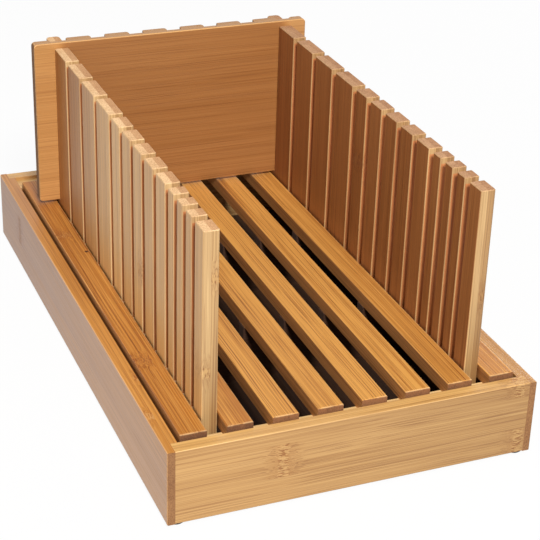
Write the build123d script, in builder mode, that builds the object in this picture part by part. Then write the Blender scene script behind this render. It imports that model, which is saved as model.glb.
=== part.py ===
"""A bread slicer guide in bamboo: a crumb tray on rubber feet, a slatted rack that lifts out of it,
two slotted side guides that drop between the slats, and a grooved back board that locks them upright.

Millimetres. +X is to the right, +Y to the back, +Z up. The origin is under the middle of the tray,
on the surface that the feet stand on.
"""
import os

from build123d import *

os.makedirs("parts", exist_ok=True)

# Crumb tray
wall_height = 43.5
wall_thickness = 8.0
lap_thickness = 4.3            # what a rabbet leaves of a wall, at its ends and along its foot
floor_thickness = 3.5
wall_edge_radius = 0.7
foot_diameter = 10.0
foot_height = 2.0
foot_inset = 6.5               # from the outer faces of a corner to its foot's centre
foot_edge_chamfer = 0.6
back_ledge_width = 13.5        # a bar that fills the tray behind the slats
back_ledge_height = 12.0
back_ledge_drop = 1.7          # its top lies this far below the rim
back_ledge_edge_radius = 0.6

# Slatted rack
slat_count = 8
slat_pitch = 25.0
slat_width = 14.4
slat_thickness = 8.0
slat_rise = 2.8                # the deck stands this far above the rim
slat_edge_radius = 0.6
slat_side_clearance = 1.8      # between an outer slat and its side wall
slat_end_clearance = 1.5       # from a slat's ends to the front wall and the back ledge
rail_thickness = 7.5
dowel_diameter = 4.0
dowel_depth_in_slat = 5.0
dowel_depth_in_rail = 7.0
dowel_clearance = 0.05         # all round a dowel

# Side guides
guide_thickness = 8.6
guide_rise = 105.0             # above the deck
guide_depth = 22.0             # below the deck
front_bar_width = 12.6
rear_bar_width = 17.6
slot_width = 5.2
slot_depth_below_deck = 3.5
board_seat_rise = 2.4          # the board's slot stops this far above the deck
thin_pitch, thin_slices = 13.7, 3
medium_pitch, medium_slices = 19.9, 5
thick_pitch, thick_slices = 30.25, 4
guide_front_gap = 3.5          # from the front rail to the guides
guide_rear_gap = 9.3           # from the guides to the back rail
slot_edge_chamfer = 0.5
front_edge_radius = 1.3
rear_edge_radius = 2.6
guide_top_chamfer = 0.4

# Half-lap seats of the guides on the two guide rails
guide_rail_inset = 98.0        # from a guide's end to the middle of its rail
guide_notch_height = 6.0
lap_clearance = 0.6            # total play, across the guide and across the rail

# Back board
board_thickness = 8.5
board_height = 106.0
groove_depth = 4.6
groove_clearance = 0.7         # total play of a guide in a groove
board_play = 0.3               # between the board and the bar in front of it
board_left_margin = 17.4       # from the first groove's middle to the left end
board_right_margin = 14.4      # from the last groove's middle to the right end
board_corner_radius = 2.5
rib_edge_radius = 1.8
board_edge_chamfer = 0.5

# Levels
floor_top = foot_height + floor_thickness
rim = foot_height + wall_height
deck = rim + slat_rise
slat_bottom = deck - slat_thickness
slot_bottom = deck - slot_depth_below_deck
board_bottom = deck + board_seat_rise
guide_bottom = deck - guide_depth
guide_top = deck + guide_rise
lap_level = guide_bottom + guide_notch_height
back_ledge_top = rim - back_ledge_drop

# Plan
guide_gap_numbers = (1, slat_count - 1)
deck_width = (slat_count - 1) * slat_pitch + slat_width
inner_width = deck_width + 2 * slat_side_clearance
tray_width = inner_width + 2 * wall_thickness
slice_pitches = ([thin_pitch] * thin_slices + [medium_pitch] * medium_slices
                 + [thick_pitch] * thick_slices)
guide_length = front_bar_width + sum(slice_pitches) + slot_width + rear_bar_width
slat_length = 2 * rail_thickness + guide_front_gap + guide_length + guide_rear_gap
inner_length = slat_length + 2 * slat_end_clearance + back_ledge_width
tray_length = inner_length + 2 * wall_thickness
slat_front = -inner_length / 2 + slat_end_clearance
slat_back = slat_front + slat_length
guide_front = slat_front + rail_thickness + guide_front_gap
guide_rear = guide_front + guide_length
slot_fronts = [guide_front + front_bar_width + sum(slice_pitches[:number])
               for number in range(len(slice_pitches) + 1)]
board_front = slot_fronts[-1] + board_play

rail_y = {
    "front_rail": slat_front + rail_thickness / 2,
    "front_guide_rail": guide_front + guide_rail_inset,
    "back_guide_rail": guide_rear - guide_rail_inset,
    "back_rail": slat_back - rail_thickness / 2,
}
dowelled_rails = ("front_rail", "back_rail")


def slat_x(number):
    """The middle of a slat, counted from 1 at the left."""
    return (number - (slat_count + 1) / 2) * slat_pitch


def gap_x(number):
    """The middle of the gap between a slat and the next one to its right."""
    return slat_x(number) + slat_pitch / 2


def finish(piece, name):
    """Label a finished piece and write it under its own name."""
    piece.part.label = name
    export_step(piece.part, f"parts/{name}.step")


# ---- Crumb tray ----
# The side walls run the whole length. Each end is rabbeted on the inside for the end wall, and every
# wall is rabbeted along the inside of its foot for the floor.
rabbet = wall_thickness - lap_thickness

for name, side in (("tray_left_wall", -1), ("tray_right_wall", 1)):
    outer_x = side * tray_width / 2
    with BuildPart() as side_wall:
        with BuildSketch(Plane.XY.offset(foot_height)):
            with Locations((outer_x - side * wall_thickness / 2, 0)):
                Rectangle(wall_thickness, tray_length)
        extrude(amount=wall_height)
        outer_edges = side_wall.faces().sort_by(Axis.X)[-1 if side > 0 else 0].edges()
        fillet(outer_edges, radius=wall_edge_radius)
        rabbet_x = outer_x - side * (lap_thickness + rabbet / 2)
        with BuildSketch(Plane.XY.offset(foot_height)):
            with Locations((rabbet_x, -(tray_length - wall_thickness) / 2),
                           (rabbet_x, (tray_length - wall_thickness) / 2)):
                Rectangle(rabbet, wall_thickness)
        extrude(amount=wall_height, mode=Mode.SUBTRACT)
        with BuildSketch(Plane.XY.offset(foot_height)):
            with Locations((rabbet_x, 0)):
                Rectangle(rabbet, tray_length)
        extrude(amount=floor_thickness, mode=Mode.SUBTRACT)
    finish(side_wall, name)

end_wall_length = tray_width - 2 * lap_thickness

for name, side in (("tray_front_wall", -1), ("tray_back_wall", 1)):
    outer_y = side * tray_length / 2
    with BuildPart() as end_wall:
        with BuildSketch(Plane.XY.offset(foot_height)):
            with Locations((0, outer_y - side * wall_thickness / 2)):
                Rectangle(end_wall_length, wall_thickness)
        extrude(amount=wall_height)
        outer_face = end_wall.faces().sort_by(Axis.Y)[-1 if side > 0 else 0]
        fillet(outer_face.edges().filter_by(Axis.X), radius=wall_edge_radius)
        with BuildSketch(Plane.XY.offset(foot_height)):
            with Locations((0, outer_y - side * (lap_thickness + rabbet / 2))):
                Rectangle(end_wall_length, rabbet)
        extrude(amount=floor_thickness, mode=Mode.SUBTRACT)
    finish(end_wall, name)

with BuildPart() as tray_floor:
    with BuildSketch(Plane.XY.offset(foot_height)):
        Rectangle(end_wall_length, tray_length - 2 * lap_thickness)
    extrude(amount=floor_thickness)
finish(tray_floor, "tray_floor")

for end, side_y in (("front", -1), ("back", 1)):
    for hand, side_x in (("left", -1), ("right", 1)):
        with BuildPart() as foot:
            with BuildSketch():
                with Locations((side_x * (tray_width / 2 - foot_inset),
                                side_y * (tray_length / 2 - foot_inset))):
                    Circle(foot_diameter / 2)
            extrude(amount=foot_height)
            chamfer(foot.edges().sort_by(Axis.Z)[0], length=foot_edge_chamfer)
        finish(foot, f"foot_{end}_{hand}")

with BuildPart() as back_ledge:
    with BuildSketch(Plane.XY.offset(back_ledge_top)):
        with Locations((0, (inner_length - back_ledge_width) / 2)):
            Rectangle(inner_width, back_ledge_width)
    extrude(amount=-back_ledge_height)
    upper_edges = back_ledge.faces().sort_by(Axis.Z)[-1].edges()
    fillet(upper_edges.sort_by(Axis.Y)[0], radius=back_ledge_edge_radius)
finish(back_ledge, "tray_back_ledge")

# ---- Slatted rack ----
for number in range(1, slat_count + 1):
    with BuildPart() as slat:
        with BuildSketch(Plane.XY.offset(slat_bottom)):
            with Locations((slat_x(number), (slat_front + slat_back) / 2)):
                Rectangle(slat_width, slat_length)
        extrude(amount=slat_thickness)
        fillet(slat.faces().sort_by(Axis.Z)[-1].edges(), radius=slat_edge_radius)
        with BuildSketch(Plane.XY.offset(slat_bottom)):
            with Locations(*[(slat_x(number), rail_y[rail_name]) for rail_name in dowelled_rails]):
                Circle(dowel_diameter / 2 + dowel_clearance)
        extrude(amount=dowel_depth_in_slat, mode=Mode.SUBTRACT)
    finish(slat, f"slat_{number}")

# Each rail stands on the tray's floor under every slat. The front and back rails are dowelled to the
# slats. The two under the guides are glued on, and notched from above in every gap, so the guides can
# stand closer together.
notch_width = guide_thickness + lap_clearance

for name, y in rail_y.items():
    with BuildPart() as rail:
        with BuildSketch(Plane.XZ.offset(-y)):
            with Locations((0, (floor_top + slat_bottom) / 2)):
                Rectangle(deck_width, slat_bottom - floor_top)
            if "guide" in name:
                with Locations(*[(gap_x(number), (lap_level + slat_bottom) / 2)
                                 for number in range(1, slat_count)]):
                    Rectangle(notch_width, slat_bottom - lap_level, mode=Mode.SUBTRACT)
        extrude(amount=rail_thickness / 2, both=True)
        if name in dowelled_rails:
            with BuildSketch(Plane.XY.offset(slat_bottom)):
                with Locations(*[(slat_x(number), y) for number in range(1, slat_count + 1)]):
                    Circle(dowel_diameter / 2 + dowel_clearance)
            extrude(amount=-dowel_depth_in_rail, mode=Mode.SUBTRACT)
    finish(rail, name)

with BuildPart() as slat_dowels:
    with BuildSketch(Plane.XY.offset(slat_bottom - dowel_depth_in_rail)):
        with Locations(*[(slat_x(number), rail_y[rail_name])
                         for number in range(1, slat_count + 1) for rail_name in dowelled_rails]):
            Circle(dowel_diameter / 2)
    extrude(amount=dowel_depth_in_rail + dowel_depth_in_slat)
finish(slat_dowels, "slat_dowels")

# ---- Side guides ----
# A knife slot between each pair of bars, at three slice thicknesses, and one shorter slot that the back
# board drops into. Notches in the foot sit over the guide rails.
for name, gap in zip(("left_guide", "right_guide"), guide_gap_numbers):
    with BuildPart() as guide:
        with BuildSketch(Plane.YZ.offset(gap_x(gap))):
            with Locations(((guide_front + guide_rear) / 2, (guide_bottom + guide_top) / 2)):
                Rectangle(guide_length, guide_top - guide_bottom)
            with Locations(*[(front + slot_width / 2, (slot_bottom + guide_top) / 2)
                             for front in slot_fronts[:-1]]):
                Rectangle(slot_width, guide_top - slot_bottom, mode=Mode.SUBTRACT)
            with Locations((slot_fronts[-1] + slot_width / 2, (board_bottom + guide_top) / 2)):
                Rectangle(slot_width, guide_top - board_bottom, mode=Mode.SUBTRACT)
            with Locations((rail_y["front_guide_rail"], (guide_bottom + lap_level) / 2),
                           (rail_y["back_guide_rail"], (guide_bottom + lap_level) / 2)):
                Rectangle(rail_thickness + lap_clearance, guide_notch_height, mode=Mode.SUBTRACT)
        extrude(amount=guide_thickness / 2, both=True)
        upright_edges = guide.edges().filter_by(Axis.Z).filter_by(lambda edge: edge.center().Z > deck)
        by_depth = upright_edges.group_by(Axis.Y)
        slot_edges = [edge for group in by_depth[1:-1] for edge in group]
        chamfer(slot_edges, length=slot_edge_chamfer)
        fillet(guide.edges().filter_by(Axis.Z).group_by(Axis.Y)[0], radius=front_edge_radius)
        fillet(guide.edges().filter_by(Axis.Z).group_by(Axis.Y)[-1], radius=rear_edge_radius)
        bar_tops = guide.faces().filter_by(Axis.Z).group_by(Axis.Z)[-1]
        chamfer(bar_tops.edges(), length=guide_top_chamfer)
    finish(guide, name)

# ---- Back board ----
# A smooth front face, and a groove down the back at every gap between the slats: the rear bars of
# the guides stand in two of the grooves, whichever gaps the guides are in.
board_left = gap_x(1) - board_left_margin
board_right = gap_x(slat_count - 1) + board_right_margin
groove_width = guide_thickness + groove_clearance
board_back = board_front + board_thickness

with BuildPart() as back_board:
    with BuildSketch(Plane.XY.offset(board_bottom)):
        with Locations(((board_left + board_right) / 2, (board_front + board_back) / 2)):
            Rectangle(board_right - board_left, board_thickness)
        with Locations(*[(gap_x(number), board_back - groove_depth / 2)
                         for number in range(1, slat_count)]):
            Rectangle(groove_width, groove_depth, mode=Mode.SUBTRACT)
    extrude(amount=board_height)
    rib_edges = back_board.edges().filter_by(Axis.Z).group_by(Axis.Y)[-1]
    fillet(rib_edges, radius=rib_edge_radius)
    corner_edges = back_board.edges().filter_by(Axis.Y).filter_by(
        lambda edge: not board_left + rib_edge_radius < edge.center().X < board_right - rib_edge_radius)
    fillet(corner_edges, radius=board_corner_radius)
    chamfer(back_board.faces().sort_by(Axis.Y)[0].edges(), length=board_edge_chamfer)
finish(back_board, "back_board")

print(f"tray {tray_width:.1f} x {tray_length:.1f} mm, top {max(guide_top, board_bottom + board_height):.1f} mm")
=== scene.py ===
"""Looks of the bread slicer guide: laminated bamboo, birch dowels and rubber feet in a plain white studio.

Metres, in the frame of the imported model. The figure of the wood is written in millimetres.
"""
import math
from collections import namedtuple

import bpy
from mathutils import Matrix, Vector


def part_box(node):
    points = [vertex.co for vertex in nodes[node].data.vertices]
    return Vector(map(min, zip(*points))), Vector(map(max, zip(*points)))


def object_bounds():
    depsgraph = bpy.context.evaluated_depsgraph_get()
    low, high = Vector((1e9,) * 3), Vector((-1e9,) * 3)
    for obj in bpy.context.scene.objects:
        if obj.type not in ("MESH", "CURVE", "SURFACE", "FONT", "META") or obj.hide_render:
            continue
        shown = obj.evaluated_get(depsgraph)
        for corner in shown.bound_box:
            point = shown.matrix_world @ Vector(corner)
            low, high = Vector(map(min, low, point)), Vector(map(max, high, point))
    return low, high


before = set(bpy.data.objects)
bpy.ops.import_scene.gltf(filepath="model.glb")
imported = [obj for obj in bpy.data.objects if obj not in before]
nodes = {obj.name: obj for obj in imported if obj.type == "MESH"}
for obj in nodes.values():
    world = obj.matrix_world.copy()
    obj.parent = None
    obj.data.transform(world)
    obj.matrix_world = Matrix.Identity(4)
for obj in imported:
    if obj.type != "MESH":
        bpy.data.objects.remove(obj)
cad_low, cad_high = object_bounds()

MM_PER_METRE = 1000.0


def srgb(red, green, blue):
    """A colour as it shows on screen, 0 to 255 a channel, as the linear colour that a shader takes."""
    linear = []
    for channel in (red, green, blue):
        share = channel / 255
        linear.append(share / 12.92 if share <= 0.04045 else ((share + 0.055) / 1.055) ** 2.4)
    return (*linear, 1.0)


def shades(light, dark):
    """The lightest and the darkest colour of one surface."""
    return srgb(*light), srgb(*dark)


# ---- Camera ----
# In front of the tray, to its left, looking down on it.
CAMERA_PLACE = (-0.30845, -0.79175, 0.4794)
CAMERA_AZIMUTH = 22.62         # degrees that it looks to the right of straight ahead
CAMERA_ELEVATION = 27.16       # degrees that it looks down
CAMERA_ROLL = 1.86
FOCAL_PIXELS = 1571.0
IMAGE_PIXELS = 540
SENSOR_MM = 36.0


def make_camera():
    """The camera of the photograph, with no shift and no depth of field."""
    azimuth = math.radians(CAMERA_AZIMUTH)
    elevation = math.radians(CAMERA_ELEVATION)
    forward = Vector((math.sin(azimuth) * math.cos(elevation),
                      math.cos(azimuth) * math.cos(elevation),
                      -math.sin(elevation)))
    right = forward.cross(Vector((0, 0, 1))).normalized()
    level = Matrix((right, right.cross(forward), -forward)).transposed().to_4x4()
    data = bpy.data.cameras.new("camera")
    data.sensor_width = SENSOR_MM
    data.lens = FOCAL_PIXELS / IMAGE_PIXELS * SENSOR_MM
    camera = bpy.data.objects.new("camera", data)
    bpy.context.scene.collection.objects.link(camera)
    camera.matrix_world = (Matrix.Translation(CAMERA_PLACE) @ level
                           @ Matrix.Rotation(math.radians(CAMERA_ROLL), 4, "Z"))
    bpy.context.scene.camera = camera


make_camera()


# ---- Shader building ----
BUMP_METRES = 0.0001


class Graph:
    """A material's nodes, with short names for the steps that the finishes are made of."""

    def __init__(self, name):
        self.material = bpy.data.materials.new(name)
        self.material.use_nodes = True
        self.tree = self.material.node_tree
        self.surface = self.tree.nodes["Principled BSDF"]
        self.coordinates = self.node("TexCoord", {})
        self.place = self.vector_math("MULTIPLY", self.coordinates.outputs["Object"], (MM_PER_METRE,) * 3)

    def feed(self, socket, value):
        """Link a socket to where its value comes from, or set it to a constant."""
        if isinstance(value, bpy.types.NodeSocket):
            self.tree.links.new(value, socket)
        else:
            socket.default_value = value

    def node(self, kind, inputs, **settings):
        """Add a node, set it up, and feed its inputs, which are given by name or by number."""
        node = self.tree.nodes.new("ShaderNode" + kind)
        for key, value in settings.items():
            setattr(node, key, value)
        for key, value in inputs.items():
            self.feed(node.inputs[key], value)
        return node

    def math(self, operation, *values):
        return self.node("Math", dict(enumerate(values)), operation=operation).outputs[0]

    def vector_math(self, operation, *values):
        return self.node("VectorMath", dict(enumerate(values)), operation=operation).outputs[0]

    def add(self, *values):
        total = values[0]
        for value in values[1:]:
            total = self.math("ADD", total, value)
        return total

    def times(self, *values):
        product = values[0]
        for value in values[1:]:
            product = self.math("MULTIPLY", product, value)
        return product

    def centred(self, value, gain):
        """A value from 0 to 1 as a swing of half the gain to each side of zero."""
        return self.math("MULTIPLY_ADD", value, gain, -gain / 2)

    def step(self, value, start, end):
        """0 before start and 1 after end, smooth in between. Start may be the larger."""
        inputs = {"Value": value, "From Min": start, "From Max": end}
        return self.node("MapRange", inputs, interpolation_type="SMOOTHSTEP").outputs[0]

    def noise(self, vector, size, detail=1, roughness=0.55, output=0):
        """Noise over cells of that size. Output 0 is a value, and output 1 is a vector."""
        cells = self.vector_math("DIVIDE", vector, size)
        inputs = {"Vector": cells, "Scale": 1.0, "Detail": detail, "Roughness": roughness}
        return self.node("TexNoise", inputs).outputs[output]

    def swing(self, size, reach):
        """A random vector of up to about half of reach along each axis, which drifts over cells of
        that size."""
        drift = self.vector_math("SUBTRACT", self.noise(self.place, size, output=1), (0.5, 0.5, 0.5))
        return self.node("VectorMath", {0: drift, 3: reach}, operation="SCALE").outputs[0]

    def mix(self, share, first, second):
        return self.node("Mix", {0: share, 6: first, 7: second}, data_type="RGBA").outputs[2]

    def darken(self, colour, share, tint):
        """Multiply a colour by a tint, by a share."""
        return self.node("Mix", {0: share, 6: colour, 7: tint}, data_type="RGBA",
                         blend_type="MULTIPLY").outputs[2]

    def finish(self, colour, roughness, height, bump_strength):
        """Feed the surface, and give the material."""
        self.feed(self.surface.inputs["Base Color"], colour)
        self.feed(self.surface.inputs["Roughness"], roughness)
        bump = self.node("Bump", {"Strength": bump_strength, "Distance": BUMP_METRES, "Height": height})
        self.feed(self.surface.inputs["Normal"], bump.outputs[0])
        return self.material


# ---- Bamboo ----
AXES = "XYZ"
Band = namedtuple("Band", "axis low high")                 # what lies between two places
Layers = namedtuple("Layers", "axis width edge")           # glued layers, counted from an edge
Knuckle = namedtuple("Knuckle", "place paleness bands")    # its place is along the grain
Cut = namedtuple("Cut", "axis colours bands")              # painted shade: another colour for the slot walls that face along an axis
PaintedShade = namedtuple("PaintedShade", "axis side bands")             # the side that use has darkened
Pit = namedtuple("Pit", "place radius")
Fade = namedtuple("Fade", "axis start end tint facing")    # painted shade on the sides that face one way along an axis

SEAM_TINT = srgb(186, 148, 108)
STREAK_TINT = srgb(150, 100, 58)
KNUCKLE_TINT = srgb(190, 142, 92)
CHIP_COLOUR = srgb(234, 192, 128)
# The paler edges: wear, and a painted highlight.
WEAR_AND_HIGHLIGHT_COLOUR = srgb(240, 204, 150)
# Painted shade on the darkened sides.
PAINTED_SHADE_TINT = srgb(212, 196, 186)
PIT_TINT = srgb(96, 60, 34)

# Cells of the figure, each as its length along the grain and its width across it.
BROAD_BAND = (260, 8.0)
COARSE_FIBRE = (240, 2.0)
FINE_FIBRE = (110, 0.75)
LONG_LINE = (300, 0.60)
HAIR = (120, 0.50)
DRIFT = (90, 25)                # how slowly the fibres wander
BEND = (7.0, 3.0)               # how fast they wander beside a knuckle
CRUMB = (3.4, 0.75)             # the rough wood in a knuckle
VESSEL = (40, 0.8)              # a cut vessel in the end grain
RAGGED_CELL = (1.7, 1.7, 1.7)   # of a knuckle's edge
BROKEN_CELL = (5.0, 5.0, 5.0)   # of a paler edge

# Lengths of the figure.
LAYER_SHIFT = 400.0             # how far the pattern is moved from one glued layer to the next
DRIFT_REACH = 1.4
BEND_REACH = 6.0
RAGGED_REACH = 5.0
KNUCKLE_HALF = 3.6              # half of what a knuckle takes along the grain
KNUCKLE_CORE = 0.6              # the share of that where it is at its strongest
KNUCKLE_REACH = 14.0            # how far from a knuckle the fibres are bent
SEAM_SHADE = (0.24, 0.04)       # how far from a glue line its shade starts, and where it is full
BAND_EDGE = 0.3                 # half of how far a band takes to begin or to end
WEAR_AND_HIGHLIGHT_EDGE = 0.25
PAINTED_SHADE_EDGE = 4.0

# Where a step starts and where it is full, in values of what it is taken of.
LINE_STEP = (0.60, 0.66)        # of the noise
HAIR_STEP = (0.57, 0.64)
CHIP_STEP = (0.44, 0.56)
HOLLOW_STEP = (0.46, 0.36)
BROKEN_STEP = (0.40, 0.58)
SPECK_STEP = (0.42, 0.18)       # of the distance from a vessel
SIDE_STEP = (0.75, 0.95)        # of how squarely a side faces along an axis
END_STEP = (0.6, 0.85)

# How much each part of the figure swings the tone from dark to light.
LAYER_TONE = 0.30
BROAD_TONE = 0.70
COARSE_TONE = 0.50
FINE_TONE = 1.45

# How much of its tint or colour each mark gets where it is full.
HAIR_SHARE = 0.34
BENT_SHARE = 0.25
HOLLOW_SHARE = 0.7
SPECK_SHARE = 0.4
WEAR_AND_HIGHLIGHT_SHARE = 0.30
PAINTED_SHADE_SHARE = 0.9
PIT_CORE = 0.4                  # the share of a pit's radius within which it is full

# What each part adds to the height that the bump is made from.
FINE_HEIGHT = 0.5
HAIR_HEIGHT = -0.6
LINE_HEIGHT = -0.5
SEAM_HEIGHT = -0.5
CRUMB_HEIGHT = 3.5
BUMP_STRENGTH = 0.35

# What each part adds to the roughness.
COARSE_ROUGHNESS = 0.16
KNUCKLE_ROUGHNESS = 0.1
END_ROUGHNESS = 0.4

LAYER_NUMBER_STEPS = (7.31, 7.31 + 5.17)       # from one strip to the next, and from ply to ply


class Bamboo(Graph):
    """Laminated bamboo, whose fibres run along one axis."""

    def __init__(self, name, grain):
        super().__init__(name)
        self.grain = grain
        normal = self.coordinates.outputs["Normal"]
        self.along = dict(zip(AXES, self.node("SeparateXYZ", {0: self.place}).outputs))
        self.normal = dict(zip(AXES, self.node("SeparateXYZ", {0: normal}).outputs))

    def cell(self, length, width):
        """A cell that is drawn out along the grain."""
        return tuple(length if axis == self.grain else width for axis in AXES)

    def within(self, bands, edge=BAND_EDGE):
        """1 in all of the bands at once, and 0 elsewhere."""
        sides = [self.step(self.along[axis], place - edge * way, place + edge * way)
                 for axis, low, high in bands for place, way in ((low, 1), (high, -1))]
        return self.times(*sides) if sides else 1.0

    def facing(self, axis):
        """1 on the sides that face along an axis, either way."""
        return self.step(self.math("ABSOLUTE", self.normal[axis]), *SIDE_STEP)

    def glued_layers(self, seed, *kinds):
        """A random vector and a random value for each glued layer, and how near its edge a point is."""
        number, seam = seed, 0.0
        for (axis, width, edge), number_step in zip(kinds, LAYER_NUMBER_STEPS):
            layer = self.math("DIVIDE", self.add(self.along[axis], -edge), width)
            number = self.add(number, self.times(self.math("FLOOR", layer), number_step))
            from_edge = self.times(self.math("PINGPONG", layer, 0.5), width)
            seam = self.math("MAXIMUM", seam, self.step(from_edge, *SEAM_SHADE))
        draw = self.node("TexWhiteNoise", {"W": number}, noise_dimensions="1D")
        return draw.outputs["Color"], draw.outputs["Value"], seam

    def knuckle_marks(self, knuckles):
        """Where the knuckles are, how pale they are there, and how near one a point is."""
        ragged = self.centred(self.noise(self.place, RAGGED_CELL, detail=2), RAGGED_REACH)
        mark, pale, near = 0.0, 0.0, 0.0
        for place, paleness, bands in knuckles:
            distance = self.math("ABSOLUTE", self.add(self.along[self.grain], ragged, -place))
            inside = self.within(bands)
            here = self.times(self.step(distance, KNUCKLE_HALF, KNUCKLE_HALF * KNUCKLE_CORE), inside)
            mark = self.math("MAXIMUM", mark, here)
            pale = self.math("MAXIMUM", pale, self.times(here, paleness))
            near = self.math("MAXIMUM", near, self.times(self.step(distance, KNUCKLE_REACH, 0.0), inside))
        return mark, pale, near

    def end_grain(self, colour):
        """A colour with the dark specks of cut vessels in it."""
        cells = self.vector_math("DIVIDE", self.place, self.cell(*VESSEL))
        vessel = self.node("TexVoronoi", {"Vector": cells, "Scale": 1.0})
        specks = self.step(vessel.outputs["Distance"], *SPECK_STEP)
        return self.darken(colour, self.times(specks, SPECK_SHARE), STREAK_TINT)

    def wear_and_highlight_edges(self, colour, edges):
        """A colour that is paler along the edges, in broken lengths: wear, and a painted highlight where an
        edge catches the light. An edge is a list of bands.
        """
        broken = self.step(self.noise(self.place, BROKEN_CELL, detail=3), *BROKEN_STEP)
        edge = 0.0
        for bands in edges:
            edge = self.math("MAXIMUM", edge, self.within(bands, WEAR_AND_HIGHLIGHT_EDGE))
        return self.mix(self.times(edge, broken, WEAR_AND_HIGHLIGHT_SHARE), colour, WEAR_AND_HIGHLIGHT_COLOUR)


def bamboo(name, grain, strips, plies, colours, end_colours, seed, face_axis=None, face_colours=None,
           cut=None, knuckles=(), wear_and_highlight=(), painted_shade=None, pits=(), fades=(), streaks=0.25, contrast=1.0,
           stretch=1.0, lift=0.0, seam_strength=0.4, shine=0.42):
    """A bamboo finish. strips and plies are its glued layers, and the colours are shades: end_colours
    show on the cut ends, and face_colours on the sides that face along face_axis. lift makes the wood
    lighter, contrast and streaks make its figure stronger, and stretch makes its fibres longer."""
    g = Bamboo(name, grain)
    shift, layer_tone, seam = g.glued_layers(seed, strips, plies)
    shifted = g.vector_math("MULTIPLY_ADD", shift, (LAYER_SHIFT,) * 3, g.place)
    shifted = g.vector_math("ADD", shifted, g.swing(g.cell(*DRIFT), DRIFT_REACH))
    if knuckles:
        knuckle, pale, bent = g.knuckle_marks(knuckles)
        shifted = g.vector_math("ADD", shifted, g.swing(g.cell(*BEND), g.times(bent, BEND_REACH)))

    def fibres(length, width):
        return g.noise(shifted, g.cell(length * stretch, width))

    # The figure, from broad bands of tone to single vessels.
    coarse = fibres(*COARSE_FIBRE)
    fine = fibres(*FINE_FIBRE)
    lines = g.step(fibres(*LONG_LINE), *LINE_STEP)
    hairs = g.step(fibres(*HAIR), *HAIR_STEP)
    tone = g.add(0.5 + lift,
                 g.centred(layer_tone, LAYER_TONE * contrast),
                 g.centred(fibres(*BROAD_BAND), BROAD_TONE * contrast),
                 g.centred(coarse, COARSE_TONE * contrast),
                 g.centred(fine, FINE_TONE * contrast))

    def wood(pair):
        light, dark = pair
        return g.mix(tone, dark, light)

    colour = wood(colours)
    if face_colours:
        colour = g.mix(g.facing(face_axis), colour, wood(face_colours))
    # Painted shade in the slots: their walls get a darker colour.
    if cut:
        colour = g.mix(g.times(g.facing(cut.axis), g.within(cut.bands)), colour, wood(cut.colours))
    colour = g.darken(colour, g.times(lines, streaks), STREAK_TINT)
    colour = g.darken(colour, g.times(hairs, HAIR_SHARE * contrast), STREAK_TINT)
    colour = g.darken(colour, g.times(seam, seam_strength), SEAM_TINT)
    height = g.add(g.times(fine, FINE_HEIGHT), g.times(hairs, HAIR_HEIGHT),
                   g.times(lines, LINE_HEIGHT), g.times(seam, SEAM_HEIGHT))
    roughness = g.add(shine, g.centred(coarse, COARSE_ROUGHNESS))

    if knuckles:
        crumb = g.noise(g.place, g.cell(*CRUMB), detail=2, roughness=0.6)
        colour = g.darken(colour, g.times(bent, BENT_SHARE), KNUCKLE_TINT)
        colour = g.mix(g.times(pale, g.step(crumb, *CHIP_STEP)), colour, CHIP_COLOUR)
        hollow = g.times(knuckle, HOLLOW_SHARE, g.step(crumb, *HOLLOW_STEP))
        colour = g.darken(colour, hollow, KNUCKLE_TINT)
        height = g.add(height, g.times(knuckle, g.centred(crumb, CRUMB_HEIGHT)))
        roughness = g.add(roughness, g.times(knuckle, KNUCKLE_ROUGHNESS))

    end = g.step(g.math("ABSOLUTE", g.normal[grain]), *END_STEP)
    colour = g.mix(end, colour, g.end_grain(wood(end_colours)))
    roughness = g.add(roughness, g.times(end, END_ROUGHNESS))

    # Paler edges: wear, and a painted highlight where an edge catches the light.
    if wear_and_highlight:
        colour = g.wear_and_highlight_edges(colour, wear_and_highlight)
    # Painted shade on the sides that face one way.
    if painted_shade:
        side = g.step(g.times(g.normal[painted_shade.axis], painted_shade.side), *SIDE_STEP)
        share = g.times(PAINTED_SHADE_SHARE, side, g.within(painted_shade.bands, PAINTED_SHADE_EDGE))
        colour = g.darken(colour, share, PAINTED_SHADE_TINT)
    for place, radius in pits:
        distance = g.node("VectorMath", {0: g.place, 1: place}, operation="DISTANCE").outputs["Value"]
        colour = g.darken(colour, g.step(distance, radius, radius * PIT_CORE), PIT_TINT)
    # Ramped tints: painted shade, and the tone of a ply.
    for ramp in fades:
        share = g.times(g.step(g.along[ramp.axis], ramp.start, ramp.end), g.facing(ramp.facing))
        colour = g.darken(colour, share, ramp.tint)
    return g.finish(colour, roughness, height, BUMP_STRENGTH)


def dress(node_name, material):
    """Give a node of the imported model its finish."""
    data = nodes[node_name].data
    data.materials.clear()
    data.materials.append(material)


def corners(node_name):
    """A node's lowest and highest corner, in millimetres."""
    return [corner * MM_PER_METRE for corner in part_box(node_name)]


# The tray: planks on edge in the walls and flat in the floor, in two plies.
PLANK = 20.0
PLY = 4.0
TOP_STRIP_DEPTH = 8.0            # what is left of a plank at the walls' rim
BEYOND = 1.0                     # how far a band runs past the surface that it ends on
WALL = shades((240, 205, 143), (202, 161, 103))
# The left wall's colour is lighter and pinker than the other walls': painted sheen and light on its side.
LEFT_WALL_WITH_SHEEN = shades((246, 198, 138), (218, 168, 112))
WALL_END = shades((166, 120, 76), (126, 84, 50))
FRONT_RIM = shades((228, 182, 112), (192, 142, 78))
LEFT_RIM = shades((220, 158, 78), (174, 112, 46))
RIGHT_RIM = shades((210, 158, 88), (172, 118, 56))
# Painted shade: tints that darken the front wall towards its right end, and the left wall's side and rim
# towards the back.
FRONT_PAINTED_SHADE_TINT = srgb(236, 236, 236)
LEFT_PAINTED_SHADE_TINT = srgb(214, 206, 208)
RIM_PAINTED_SHADE_TINT = srgb(236, 230, 226)

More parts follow.
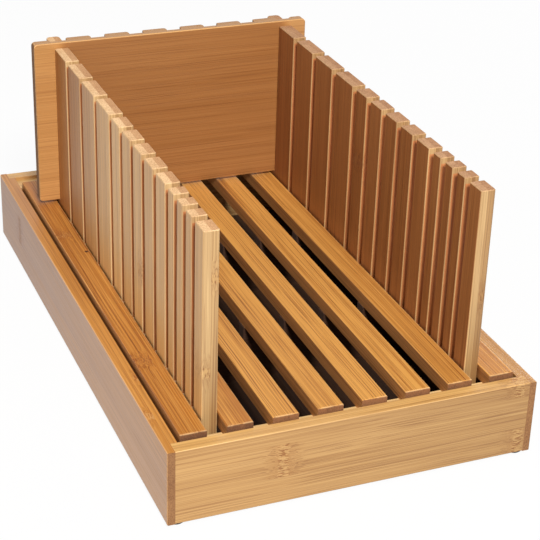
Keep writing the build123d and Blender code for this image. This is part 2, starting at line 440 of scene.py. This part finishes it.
tray_low, tray_high = corners("tray_left_wall")[0], corners("tray_right_wall")[1]
rim = corners("tray_front_wall")[1].z
low_seam = rim - (TOP_STRIP_DEPTH + PLANK)
high_seam = low_seam + PLANK
LOW_STRIP = Band("Z", -BEYOND, low_seam)
MIDDLE_STRIP = Band("Z", low_seam, high_seam)
TOP_STRIP = Band("Z", high_seam, rim + BEYOND)
RIM_INNER_PLY = Band("X", -99.0, -96.0)
RIM_OUTER_PLY = Band("X", -104.0, -100.0)

Wall = namedtuple("Wall", "grain colours rim_colours knuckles fades contrast")
WALLS = {
    "tray_front_wall": Wall(
        "X", WALL, FRONT_RIM,
        (Knuckle(-42.0, 0.35, (MIDDLE_STRIP,)), Knuckle(94.5, 0.4, (TOP_STRIP,)),
         Knuckle(96.0, 0.4, (LOW_STRIP,))),
        (Fade("X", tray_low.x, tray_high.x, FRONT_PAINTED_SHADE_TINT, "Y"),), 1.0),
    "tray_back_wall": Wall("X", WALL, FRONT_RIM, (Knuckle(30.0, 0.4, (MIDDLE_STRIP,)),), (), 1.0),
    "tray_left_wall": Wall(
        "Y", LEFT_WALL_WITH_SHEEN, LEFT_RIM,
        (Knuckle(126.0, 0.1, (MIDDLE_STRIP,)), Knuckle(-105.0, 0.2, (RIM_INNER_PLY,)),
         Knuckle(-143.0, 0.3, (RIM_OUTER_PLY,))),
        (Fade("Y", tray_low.y, tray_high.y, LEFT_PAINTED_SHADE_TINT, "X"),
         Fade("Y", tray_low.y, tray_high.y, RIM_PAINTED_SHADE_TINT, "Z")), 0.75),
    "tray_right_wall": Wall("Y", WALL, RIGHT_RIM, (Knuckle(-20.0, 0.4, (MIDDLE_STRIP,)),), (), 1.0),
    "tray_back_ledge": Wall("X", WALL, FRONT_RIM, (), (), 1.0),
}
for index, (name, wall) in enumerate(WALLS.items()):
    low, high = corners(name)
    across = "X" if wall.grain == "Y" else "Y"
    dress(name, bamboo(f"{name}_bamboo", wall.grain, Layers("Z", PLANK, low_seam),
                       Layers(across, PLY, low[AXES.index(across)]), wall.colours, WALL_END,
                       seed=3.0 + 8.7 * index, face_axis="Z", face_colours=wall.rim_colours,
                       knuckles=wall.knuckles, fades=wall.fades, contrast=wall.contrast,
                       seam_strength=0.6, shine=0.35))

# Painted shade: the floor and the guide rails deep under the slats are a near-black brown that stands in
# for the shade there.
UNDERSIDE_SHADE = shades((78, 50, 30), (50, 30, 17))
RAIL_PLY = 3.75
dress("tray_floor", bamboo("floor_bamboo", "Y", Layers("X", PLANK, 0.0), Layers("Z", PLY, 0.0),
                           UNDERSIDE_SHADE, UNDERSIDE_SHADE, seed=43.0, shine=0.7))
RAILS = {                        # each as its colours and its end colours
    "front_guide_rail": (UNDERSIDE_SHADE, UNDERSIDE_SHADE), "back_guide_rail": (UNDERSIDE_SHADE, UNDERSIDE_SHADE),
    "back_rail": (WALL, WALL_END), "front_rail": (WALL, WALL_END),
}
for index, (name, (colours, end_colours)) in enumerate(RAILS.items()):
    low, high = corners(name)
    dress(name, bamboo(f"{name}_bamboo", "X", Layers("Z", PLANK, low.z), Layers("Y", RAIL_PLY, low.y),
                       colours, end_colours, seed=90.0 + 4.3 * index, shine=0.65))

# The rack: narrow strips on edge, more orange than the tray.
STRIP = 4.8
SLAT = shades((240, 182, 94), (188, 122, 46))
SLAT_SIDE = shades((222, 164, 100), (168, 116, 64))
SLAT_END = shades((138, 92, 56), (100, 64, 38))
# How much lighter each slat is: its own tone, plus painted light and shade, the slats beside the left guide
# darker and the middle ones lighter.
SLAT_TONE_AND_SHADE_LIFTS = (-0.30, -0.25, 0.36, 0.32, 0.60, 0.38, 0.25, 0.02)
WEAR_AND_HIGHLIGHT_TOP = 0.5                   # how far down from the top the paler edges reach
HIGHLIGHT_RIGHT = 0.6                 # and how far in from the right edge, which gets a painted highlight, and from the front one, which gets wear
WORN_FRONT = 0.8
for number, lift in enumerate(SLAT_TONE_AND_SHADE_LIFTS, 1):
    name = f"slat_{number}"
    low, high = corners(name)
    top = Band("Z", high.z - WEAR_AND_HIGHLIGHT_TOP, high.z + BEYOND)
    # Painted highlight along the right top edge, and wear along the front top edge.
    highlit_right_edge = Band("X", high.x - HIGHLIGHT_RIGHT, high.x + BEYOND)
    front_edge = Band("Y", low.y - BEYOND, low.y + WORN_FRONT)
    marks, pits = (), ()
    if number == 1:
        left_strips = Band("X", low.x, low.x + 2 * STRIP)
        marks = (Knuckle(-93.0, 0.05, (left_strips,)), Knuckle(69.0, 0.1, (left_strips,)))
        pits = (Pit((low.x + 12.1, 42.5, high.z), 1.6),)
    dress(name, bamboo(f"{name}_bamboo", "Y", Layers("X", STRIP, low.x), Layers("Z", PLY, low.z),
                       SLAT, SLAT_END, seed=50.0 + 3.7 * number, face_axis="X", face_colours=SLAT_SIDE,
                       knuckles=marks, wear_and_highlight=((top, highlit_right_edge), (top, front_edge)), pits=pits,
                       streaks=0.6, contrast=1.1, lift=lift, shine=0.5))

# The guides: two plies, with the grain upright, and other colours on their broad sides; their slot walls
# get painted shade.
FRONT_BAR = Band("Y", -200.0, -145.6)
LEFT_BAR = Band("Y", -65.0, -52.0)
RIGHT_BAR = Band("Y", -20.0, 0.0)
# Painted shade and warm bounce light in the slots, as the colour of their walls.
SLOT_WALL_SHADE = shades((218, 150, 96), (180, 110, 64))
FOOT_SHADE_TINT = srgb(224, 220, 212)
RIGHT_PLY_TINT = srgb(232, 224, 216)
GLUE_LINE = 0.2                  # half of how wide the change from ply to ply is
SLOT_MARGIN = 3.0                # how far in from the guide's ends its slots start to show
TOOTH_TIP = 3.5                  # and how far below its top
FOOT_SHADE = (110.0, 50.0)        # the height where the painted shade towards the foot starts, and where it is full
BACK_SHADE_MARGIN = 20.0                 # painted shade: how far before the middle the back's darker tint starts, and before the guide's back end it is full
                                 # guide's back end it is full
Guide = namedtuple("Guide", "edges sides tops back_tint right_top_tint knuckles")
GUIDES = {
    "left_guide": Guide(
        shades((224, 190, 136), (180, 141, 96)), shades((250, 208, 140), (216, 168, 104)),
        shades((246, 206, 156), (206, 160, 112)), srgb(178, 142, 104), srgb(222, 206, 194),
        (Knuckle(83.0, 0.05, (LEFT_BAR,)), Knuckle(127.5, 0.45, (Band("X", -75.0, -70.7), FRONT_BAR)),
         Knuckle(74.3, 0.45, (Band("X", -79.3, -75.0), FRONT_BAR)))),
    "right_guide": Guide(
        shades((210, 173, 121), (164, 125, 81)), shades((218, 160, 100), (172, 116, 66)),
        shades((206, 160, 118), (162, 116, 78)), srgb(250, 246, 240), srgb(240, 232, 226),
        (Knuckle(91.0, 0.2, (Band("X", 75.0, 79.3), FRONT_BAR)), Knuckle(110.0, 0.1, (RIGHT_BAR,)))),
}
for index, (name, guide) in enumerate(GUIDES.items()):
    low, high = corners(name)
    inwards = -1 if low.x > 0 else 1
    middle = (low.x + high.x) / 2
    slots = (Band("Y", low.y + SLOT_MARGIN, high.y - SLOT_MARGIN), Band("Z", 0.0, high.z - TOOTH_TIP))
    # Painted shade on the broad sides towards the back and on the ends towards the foot; the right ply's
    # tints on the ends and the top are its own tone.
    fades = (Fade("Y", -BACK_SHADE_MARGIN, high.y - BACK_SHADE_MARGIN, guide.back_tint, "X"),
             Fade("Z", *FOOT_SHADE, FOOT_SHADE_TINT, "Y"),
             Fade("X", middle - GLUE_LINE, middle + GLUE_LINE, RIGHT_PLY_TINT, "Y"),
             Fade("X", middle - GLUE_LINE, middle + GLUE_LINE, guide.right_top_tint, "Z"))
    # Painted shade on the inward broad sides, standing in for the shade between the guides, and on the slot
    # walls.
    dress(name, bamboo(f"{name}_bamboo", "Z", Layers("Y", PLANK, low.y - 4.0),
                       Layers("X", middle - low.x, low.x), guide.edges, guide.tops,
                       seed=120.0 + 9.1 * index, face_axis="X", face_colours=guide.sides,
                       cut=Cut("Y", SLOT_WALL_SHADE, slots), knuckles=guide.knuckles,
                       painted_shade=PaintedShade("X", inwards, ()), fades=fades))

# The back board: two plies, with the grain level, and painted shade on its front between the guides.
BOARD = shades((222, 172, 108), (190, 138, 78))
BOARD_TOP = shades((192, 142, 84), (160, 110, 56))
BOARD_END = shades((124, 84, 46), (86, 56, 28))
BOARD_PLY = 3.9
BETWEEN_GUIDES = Band("X", -75.0, 75.0)
low, high = corners("back_board")
dress("back_board", bamboo("back_board_bamboo", "X", Layers("Z", PLANK, low.z + 4.0),
                           Layers("Y", BOARD_PLY, low.y), BOARD, BOARD_END, seed=150.0,
                           face_axis="Z", face_colours=BOARD_TOP, painted_shade=PaintedShade("Y", -1, (BETWEEN_GUIDES,)),
                           streaks=0.15, contrast=0.75, stretch=1.8))


# ---- Dowels and feet ----
MOTTLED_ROUGHNESS = 0.2          # how far the gloss of these swings


def mottled(name, cell, light, dark, roughness, bump_strength):
    """A finish whose colour, gloss and height all follow one fine random figure."""
    g = Graph(name)
    figure = g.noise(g.place, cell, detail=3)
    colour = g.mix(figure, srgb(*dark), srgb(*light))
    return g.finish(colour, g.add(roughness, g.centred(figure, MOTTLED_ROUGHNESS)), figure, bump_strength)


dress("slat_dowels", mottled("birch_dowel", (0.5, 0.5, 12.0), (232, 208, 166), (202, 168, 120), 0.5, 0.3))
black_rubber = mottled("foot_rubber", (0.7, 0.7, 0.7), (46, 44, 42), (24, 23, 22), 0.62, 0.4)
for end in ("front", "back"):
    for hand in ("left", "right"):
        dress(f"foot_{end}_{hand}", black_rubber)


# ---- Studio ----
def seen_directly(tree):
    """1 for a ray from the camera, or one that a glossy or clear surface sends on, and 0 for light."""
    path = tree.nodes.new("ShaderNodeLightPath")
    seen = path.outputs["Is Camera Ray"]
    for kind in ("Is Glossy Ray", "Is Transmission Ray"):
        either = tree.nodes.new("ShaderNodeMath")
        either.operation = "MAXIMUM"
        tree.links.new(seen, either.inputs[0])
        tree.links.new(path.outputs[kind], either.inputs[1])
        seen = either.outputs[0]
    return seen


def two_looks(tree, for_light, when_seen):
    """A colour for the rays that carry light, and another for those that show the surface."""
    mix = tree.nodes.new("ShaderNodeMix")
    mix.data_type = "RGBA"
    mix.inputs[6].default_value = for_light
    mix.inputs[7].default_value = when_seen
    tree.links.new(seen_directly(tree), mix.inputs[0])
    return mix.outputs[2]


WHITE = (1.0, 1.0, 1.0)
AMBIENT = (0.30, 0.30, 0.31, 1.0)


def make_world():
    """Even light from all round, which shows as white."""
    world = bpy.data.worlds.new("studio")
    world.use_nodes = True
    tree = world.node_tree
    colour = two_looks(tree, AMBIENT, (*WHITE, 1.0))
    tree.links.new(colour, tree.nodes["Background"].inputs["Color"])
    bpy.context.scene.world = world


FLOOR_HALF = 3.0
FLOOR_WHITE_SHARE = 0.93       # how much of the floor's look is plain white, and the rest takes shadow
FLOOR_BOUNCE = (0.32, 0.32, 0.32, 1.0)
FLOOR_PAPER = (0.82, 0.82, 0.82, 1.0)


def make_floor():
    """A flat white floor, which still takes a faint shadow."""
    data = bpy.data.meshes.new("floor")
    data.from_pydata([(x * FLOOR_HALF, y * FLOOR_HALF, 0) for x, y in ((-1, -1), (1, -1), (1, 1), (-1, 1))],
                     [], [(0, 1, 2, 3)])
    floor = bpy.data.objects.new("floor", data)
    bpy.context.scene.collection.objects.link(floor)
    material = bpy.data.materials.new("floor_white")
    material.use_nodes = True
    tree = material.node_tree
    tree.nodes.clear()
    paper = tree.nodes.new("ShaderNodeBsdfDiffuse")
    tree.links.new(two_looks(tree, FLOOR_BOUNCE, FLOOR_PAPER), paper.inputs["Color"])
    glow = tree.nodes.new("ShaderNodeEmission")
    share = tree.nodes.new("ShaderNodeMath")
    share.operation = "MULTIPLY"
    share.inputs[1].default_value = FLOOR_WHITE_SHARE
    tree.links.new(seen_directly(tree), share.inputs[0])
    mix = tree.nodes.new("ShaderNodeMixShader")
    tree.links.new(share.outputs[0], mix.inputs[0])
    tree.links.new(paper.outputs[0], mix.inputs[1])
    tree.links.new(glow.outputs[0], mix.inputs[2])
    output = tree.nodes.new("ShaderNodeOutputMaterial")
    tree.links.new(mix.outputs[0], output.inputs["Surface"])
    data.materials.append(material)


LAMPS = {                        # each as its place, its width, its watts and its colour
    "key": ((-0.35, -1.96, 1.70), 0.5, 78.0, (1.0, 0.98, 0.95)),
    "left_fill": ((-1.3, -0.15, 0.40), 0.8, 4.0, WHITE),
    "back_fill": ((1.5, 0.9, 0.35), 0.8, 12.0, WHITE),
}


def softbox(name, place, width, watts, colour):
    """A square lamp that faces the middle of the object."""
    data = bpy.data.lights.new(name, "AREA")
    data.size = width
    data.energy = watts
    data.color = colour
    lamp = bpy.data.objects.new(name, data)
    bpy.context.scene.collection.objects.link(lamp)
    centre = (cad_low + cad_high) / 2
    lamp.location = place
    lamp.rotation_euler = (centre - Vector(place)).to_track_quat("-Z", "Y").to_euler()


make_world()
make_floor()
for name, lamp in LAMPS.items():
    softbox(name, *lamp)

bpy.context.scene.view_settings.view_transform = "Standard"
